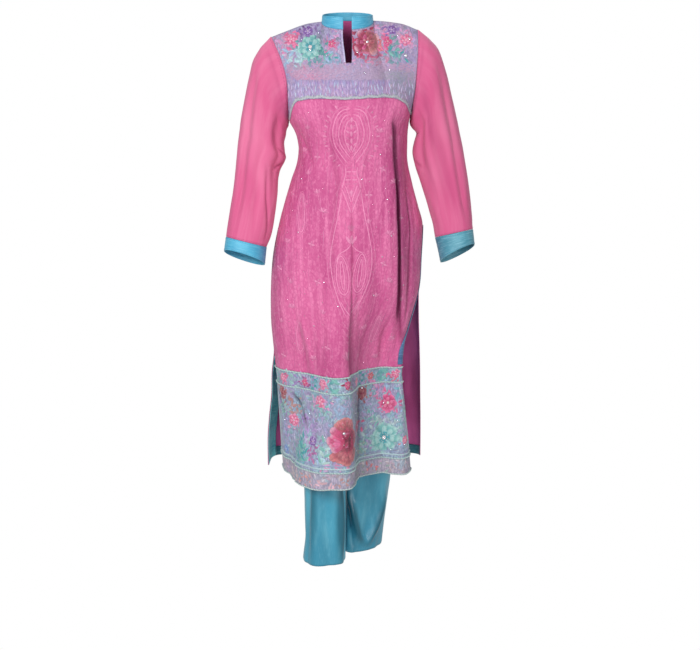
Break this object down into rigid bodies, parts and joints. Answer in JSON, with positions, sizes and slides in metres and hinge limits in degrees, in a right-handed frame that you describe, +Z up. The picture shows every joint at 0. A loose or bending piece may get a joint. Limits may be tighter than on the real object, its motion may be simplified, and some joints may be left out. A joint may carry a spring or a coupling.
{
  "type": "salwar kameez suit",
  "caption": "Worn salwar kameez suit: long-sleeved pink kameez with stand collar, floral yoke and border and side slits, over straight aqua trousers.",
  "frame": {"origin": "between the shoulders at the foot of the stand collar, the place the wearer's shoulders hold the suit", "axes": "+Z up the wearer's back, -Y out of the front, +X to the right as seen from the front; left and right in node names are as seen from the front"},
  "size_m": [0.5874, 0.3445, 1.3168],
  "materials": {
    "lace": "pink georgette worked all over with tone-on-tone scrolling embroidery",
    "chiffon": "plain pink georgette, matt with a faint crepe grain",
    "worked": "grey-blue ground covered with floral thread embroidery and small stones",
    "aqua": "aqua dupion with a soft sheen",
    "cord": "pale mint and lavender braid",
    "satin": "aqua satin with a broad soft sheen"
  },
  "bodies": {
    "root": {"kameez_collar": "aqua", "kameez_front_yoke": "worked", "kameez_front_panel": "lace", "kameez_front_band": "worked", "kameez_front_border": "worked", "kameez_front_hem_band": "worked", "kameez_cord_upper": "cord", "kameez_cord_middle": "cord", "kameez_cord_lower": "cord", "kameez_front_slit_facing": "aqua", "kameez_neck_slit_piping": "cord", "kameez_back_panel": "chiffon", "kameez_back_slit_facing": "aqua", "kameez_back_hem_facing": "aqua", "kameez_sleeve_left": "chiffon", "kameez_sleeve_right": "chiffon", "kameez_cuff_left": "aqua", "kameez_cuff_right": "aqua", "salwar_leg_left": "satin", "salwar_leg_right": "satin", "salwar_waistband": "satin"}
  },
  "joints": []
}
